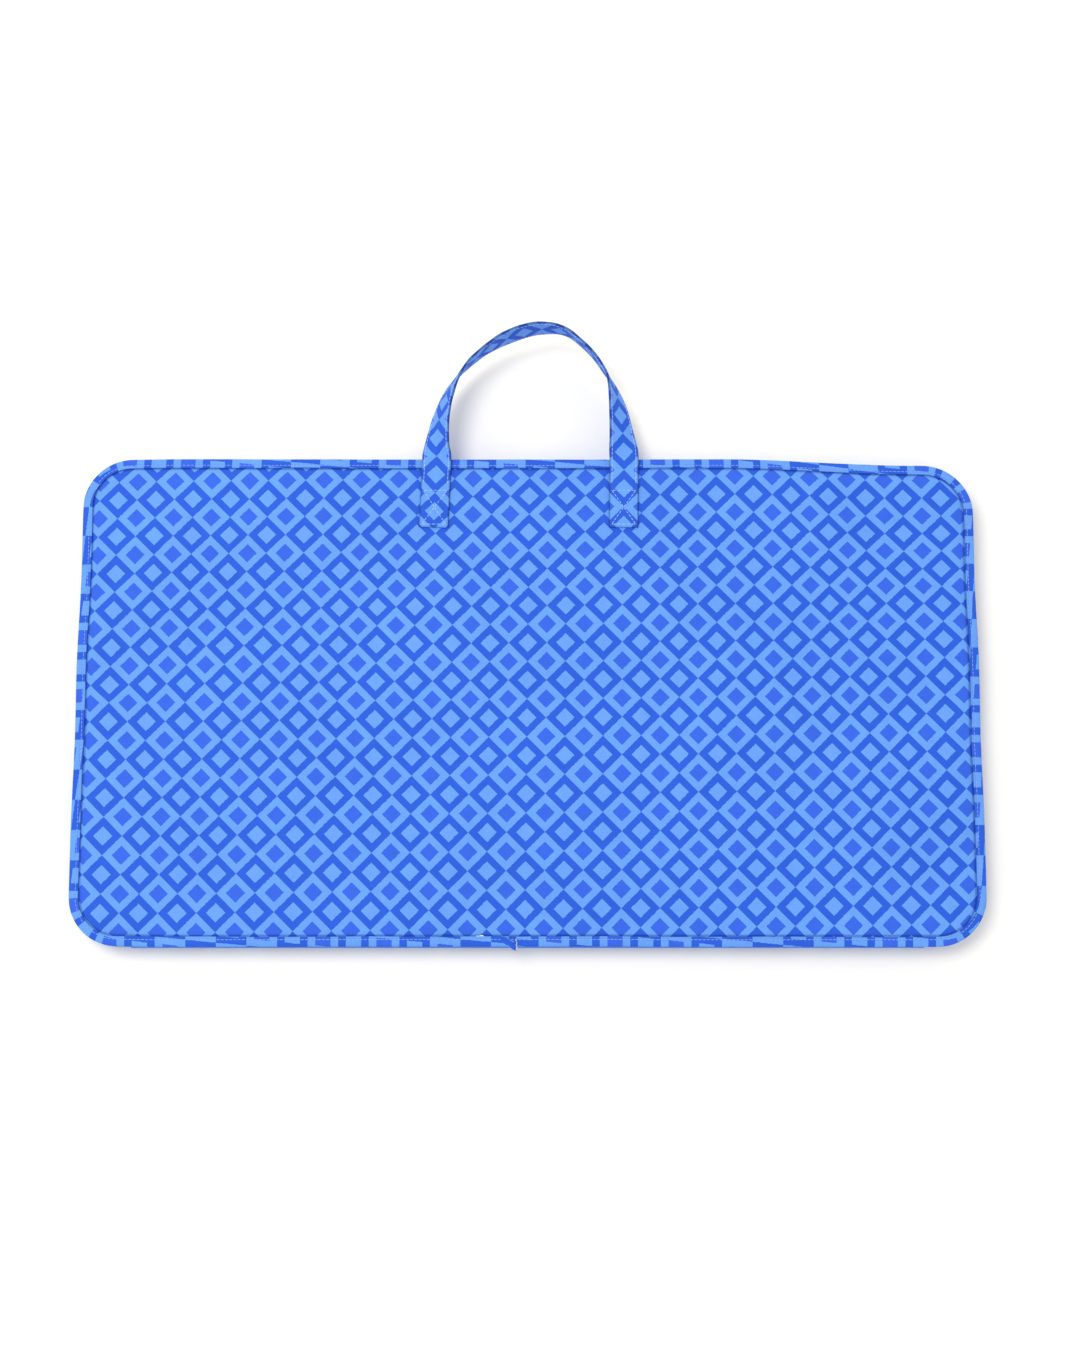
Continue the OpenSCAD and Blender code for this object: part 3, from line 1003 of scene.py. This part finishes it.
def bend_at_tabs(piece):
    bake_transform(piece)


def make_strap():
    """The folded band, from the end of one tab round to the end of the other."""
    marks, route, across, out = strap_frames()
    w, h = strap_section()
    face = w[1:-1]
    around_w = np.concatenate([w, face[::-1]])
    around_h = np.concatenate([h, -h[1:-1][::-1]])
    around_h[0], around_h[len(w) - 1] = 0, 0
    upper = np.concatenate([np.ones(len(w)), np.zeros(len(face))])
    lump = waves(marks[:, None], around_w[None, :] * 2, 26, 9, 71) * 0.15
    free = smooth((route[:, 1] - LOOP_START) / 10)[:, None]
    h_all = around_h[None, :] + lump * free * np.sign(around_h)[None, :]
    h_all = h_all - upper * tack_valley(around_w[None, :], route[:, 1:2]) * (1 - free)
    tail = np.minimum(marks, marks[-1] - marks)
    h_all = h_all * (0.55 + 0.45 * smooth(tail / 1.6))[:, None]
    rings = (route[:, None, :] + around_w[None, :, None] * across[:, None, :]
             + h_all[..., None] * out[:, None, :])
    points, faces = swept(list(rings))
    uv = strap_uv(marks, route, around_w).reshape(-1, 2)
    edge = np.broadcast_to(STRAP_HALF - np.abs(around_w), h_all.shape)
    strap = make("carry_strap_cloth", points, faces, STRAP_PRINT, uv, recalculate=True,
                 edge=edge)
    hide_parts("handle_tab_left", "handle_tab_right", "handle_loop")
    bend_at_tabs(strap)
    make_strap_stitches(route, across, out, w, h)


def make_strap_stitches(route, across, out, w, h):
    """The stitching along both edges on both faces, and a box and cross on each tab."""
    depth = float(np.interp(EDGE_STITCH, w, h)) + 0.1
    parts = []
    for side in (-1, 1):
        for face in (-1, 1):
            path = route + side * EDGE_STITCH * across + face * depth * out
            shown = slice(2, -2) if face > 0 else slice(22, -22)
            parts.append(stitch_mesh(*stitch_line(path[shown], face * out[shown]), thickness=0.4))
    for leg in (LEG_LEFT, LEG_RIGHT):
        low_left, low_right, high_left, high_right = (
            (leg_x(leg, y) + side * EDGE_STITCH, y, SEWN_Z + depth + 0.12)
            for y in (TACK_LOW, TACK_HIGH) for side in (-1, 1))
        for a, b in ((low_left, low_right), (high_left, high_right),
                     (low_left, high_right), (high_left, low_right)):
            parts.append(flat_stitches(straight(a, b), 1, thickness=0.42))
    stitches = joined("strap_stitches", parts, STRAP_THREAD)
    bend_at_tabs(stitches)


make_strap()

# ---- hinge tapes


TAPE_PAST_CAD = 0.15
# Rows of stitches on each half of a tape: in from its sewn edge, and back from its fold
SEWN_ROWS = (1.6, 3.6)
FOLD_ROW = 4.6


def make_hinge_tape(name, upper_node, lower_node, upper_body, lower_body, side):
    """One folded tape across the hinge on the +Y side (side 1) or the -Y side (-1) of the
    stack: sewn to both leaves, with its fold beyond their edges. Its shape runs from the lower
    leaf to the upper one round its fold."""
    upper_low, upper_high = box_mm(upper_node)
    lower_low, lower_high = box_mm(lower_node)
    z_top = (upper_low[2] + upper_high[2]) / 2
    z_bottom = (lower_low[2] + lower_high[2]) / 2
    thick = upper_high[2] - upper_low[2]
    radius = (z_top - z_bottom) / 2
    fold_y = max(abs(upper_low[1]), abs(upper_high[1])) + TAPE_PAST_CAD - radius
    flat = np.linspace(fold_y - (upper_high[1] - upper_low[1]) - 0.3, fold_y, 12)[:-1]
    arc = np.linspace(-math.pi / 2, math.pi / 2, 11)
    turn = np.concatenate([np.full(11, arc[0]), arc, np.full(11, arc[-1])])
    ny, nz = np.cos(turn), np.sin(turn)
    y = np.concatenate([flat, np.full(11, fold_y), flat[::-1]]) + radius * ny
    z = (z_top + z_bottom) / 2 + radius * nz
    x = np.linspace(upper_low[0], upper_high[0], 110)

    def sag(x):
        return CENTRE.slump * sagging(x) if side > 0 else 0 * x

    edge = 0.35 * waves(x, 0 * x, 60, 12, 5)[:, None] * smooth((fold_y - 6 - y) / 14)[None, :]
    edge = edge + sag(x)[:, None]
    half = thick / 2 - 0.02
    outer, inner = (
        np.stack(np.broadcast_arrays(x[:, None], side * (y + h * ny - edge), z + h * nz), -1)
        for h in (half, -half))
    points, faces = closed_sheet(outer, inner)
    run = np.concatenate([[0], np.cumsum(np.hypot(np.diff(y), np.diff(z)))])
    uv = np.stack(np.broadcast_arrays(x[:, None], run[None, :]), -1).reshape(-1, 2)
    tape = make(name, points, faces, TAPE, np.tile(uv, (2, 1)), recalculate=True)
    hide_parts(upper_node, lower_node)
    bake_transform(tape)
    rows = [flat[0] + inset for inset in SEWN_ROWS] + [fold_y - FOLD_ROW]
    for body, z_face, up in ((upper_body, upper_low[2], -1), (lower_body, lower_high[2], 1)):
        parts = []
        for row in rows:
            path = straight((x[0] + 2, side * row, z_face), (x[-1] - 2, side * row, z_face), 40)
            path[:, 1] -= sag(path[:, 0])
            parts.append(flat_stitches(path, up, thickness=0.36, sink=0.14))
        stitches = joined(f"{name}_stitches_{body}", parts, PALE_THREAD)
        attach(stitches, body)


make_hinge_tape("front_hinge_tape", "front_hinge_tape_outer", "front_hinge_tape_inner",
                "front_leaf", "centre_leaf", side=-1)
make_hinge_tape("rear_hinge_tape", "rear_hinge_tape_inner", "rear_hinge_tape_outer",
                "centre_leaf", "rear_leaf", side=1)

# ---- hook and loop patches


PATCH_CORNER = 2.5
PATCH_SEAM = 2.2


def make_patch(node, body, sign, material, fuzz, seed):
    """A sewn patch of hook or loop tape, with round corners and an uneven pile, which faces
    up (sign 1) or down (-1)."""
    low, high = box_mm(node)
    middle, half = (low + high) / 2, (high - low) / 2
    x, y = np.meshgrid(np.linspace(-half[0], half[0], 64), np.linspace(-half[1], half[1], 24),
                       indexing="ij")
    edge = np.minimum(half[0] - np.abs(x), half[1] - np.abs(y))
    x, y = onion(x, y, half[0], half[1], PATCH_CORNER)
    thick = high[2] - low[2]
    height = thick * (0.35 + 0.5 * np.sqrt(np.clip(edge / 1.2, 0, 1)))
    sewn = np.exp(-(((edge - PATCH_SEAM) / 0.7) ** 2))
    height += fuzz * waves(x, y, 3.2, 1.3, seed) * smooth(edge / 1.5) - 0.3 * sewn * height
    points, faces = slab(x, y, height, 0 * x)
    base = low[2] if sign > 0 else high[2]
    points = points * [1, 1, sign] + [middle[0], middle[1], base]
    uv = np.tile(np.stack([x, y], -1).reshape(-1, 2), (2, 1))
    piece = make(node + "_pile", points, faces, material, uv, recalculate=True)
    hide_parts(node)
    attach(piece, body)
    seam = half - PATCH_SEAM
    z = base + sign * thick * 0.62
    corners = [(middle[0] + i * seam[0], middle[1] + j * seam[1], z)
               for i, j in ((-1, -1), (1, -1), (1, 1), (-1, 1), (-1, -1))]
    parts = [flat_stitches(straight(a, b), sign, thickness=0.36)
             for a, b in zip(corners, corners[1:])]
    stitches = joined(node + "_stitches", parts, PALE_THREAD)
    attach(stitches, body)


for number, side in enumerate(("left", "right")):
    make_patch(f"front_loop_patch_{side}", "front_leaf", -1, LOOP_PILE, 0.10, 81 + number)
    make_patch(f"front_hook_patch_{side}", "centre_leaf", 1, HOOK_PILE, 0.04, 91 + number)
    make_patch(f"rear_loop_patch_{side}", "rear_leaf", 1, LOOP_PILE, 0.10, 101 + number)
    make_patch(f"rear_hook_patch_{side}", "centre_leaf", -1, HOOK_PILE, 0.04, 111 + number)

# ---- the binding's raw end


FRAY_THREADS = 46
SCRAP_LEFT = -31.6
SCRAP_LENGTH = 6.2
SCRAP_WIDTH = 1.3


def make_raw_end():
    """The pale cut end of the front leaf's binding, with frayed threads, and a scrap of the
    unprinted backing that shows at the binding's inner edge."""
    rng = np.random.default_rng(3)
    starts, ends = [], []
    for _ in range(FRAY_THREADS):
        d = rng.uniform(-1.3, 4.6)
        z = float(BIND_TOP + 0.7 + rng.uniform(-0.2, 0.25))
        x, y = outline_point(PERIMETER + FRONT.join - 0.5, d)
        length = rng.uniform(0.5, 1.5)
        tip = np.array([length, rng.uniform(-0.4, 0.4), rng.uniform(-0.1, 0.2)])
        starts.append(np.array([float(x), float(y), z]))
        ends.append(starts[-1] + tip)
    ups = [np.array([0.0, 0.0, 1.0])] * len(starts)
    points, faces = stitch_mesh(starts, ends, ups, thickness=0.16, sink=0)
    fray = FRONT.make("binding_fray", points, faces, RAW_THREAD)
    t = np.linspace(0, 1, 15)
    wide = SCRAP_WIDTH * np.sin(math.pi * t) ** 0.7 * (1 + 0.25 * np.sin(9 * t + 1)) + 0.05
    x = SCRAP_LEFT + SCRAP_LENGTH * t
    inner = -HALF_D + BINDING_W - 0.5
    rows = [np.column_stack([x, inner + wide * k, np.full_like(x, BIND_TOP + 0.1 + 0.35 * k)])
            for k in (0, 0.35, 0.7, 1)]
    top = np.stack(rows, 1)
    points, faces = closed_sheet(top, top - [0, 0, 0.25])
    scrap = FRONT.make("backing_scrap", points, faces, RAW_EDGE, points[:, :2])


make_raw_end()

# ---- CAD pieces that stay


def finish_cad(node, material):
    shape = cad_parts[node]
    shape.data.materials.clear()
    shape.data.materials.append(material)


for leaf in LEAVES:
    finish_cad(f"{leaf.name}_stiffener", BOARD)
for side in ("left", "right"):
    finish_cad(f"handle_backing_{side}", BACKING)

# ---- camera, floor and light


CAMERA_LENS = 47.98
CAMERA_TILT = math.radians(8.94)
CAMERA_DISTANCE = 1.096
CAMERA_TARGET = np.array([7.4, 13.9, 20.0]) * MM
FLOOR_HALF = 20000
FLOOR_Z = -0.3
KEY_PLACE = Vector((-0.62, 0.36, 1.9))
KEY_SIZE = 0.9
KEY_WATTS = 17.5
WORLD_STRENGTH = 0.88


def make_camera():
    data = bpy.data.cameras.new("camera")
    data.sensor_fit = "VERTICAL"
    data.sensor_height = 36
    data.lens = CAMERA_LENS
    data.clip_start = 0.01
    camera = add_object("camera", data)
    back = np.array([0, -math.sin(CAMERA_TILT), math.cos(CAMERA_TILT)])
    camera.location = CAMERA_TARGET + CAMERA_DISTANCE * back
    camera.rotation_euler = (CAMERA_TILT, 0, 0)
    bpy.context.scene.camera = camera


def make_floor():
    corners = [(i * FLOOR_HALF, j * FLOOR_HALF, FLOOR_Z)
               for i, j in ((-1, -1), (1, -1), (1, 1), (-1, 1))]
    n = Nodes("white_floor", roughness=0.9)
    n.colour((0.95, 0.93, 0.87, 1))
    floor = make("floor", corners, [[0, 1, 2, 3]], n.material)


def make_lights():
    world = bpy.data.worlds.new("white_room")
    world.use_nodes = True
    background = world.node_tree.nodes["Background"]
    background.inputs["Color"].default_value = (1, 1, 1, 1)
    background.inputs["Strength"].default_value = WORLD_STRENGTH
    bpy.context.scene.world = world
    data = bpy.data.lights.new("key", "AREA")
    data.shape = "DISK"
    data.size = KEY_SIZE
    data.energy = KEY_WATTS
    key = add_object("key", data)
    key.location = KEY_PLACE
    key.rotation_euler = (-KEY_PLACE).to_track_quat("-Z", "Y").to_euler()
    bpy.context.scene.view_settings.view_transform = "Standard"
    bpy.context.scene.view_settings.look = "None"


make_camera()
make_floor()
make_lights()
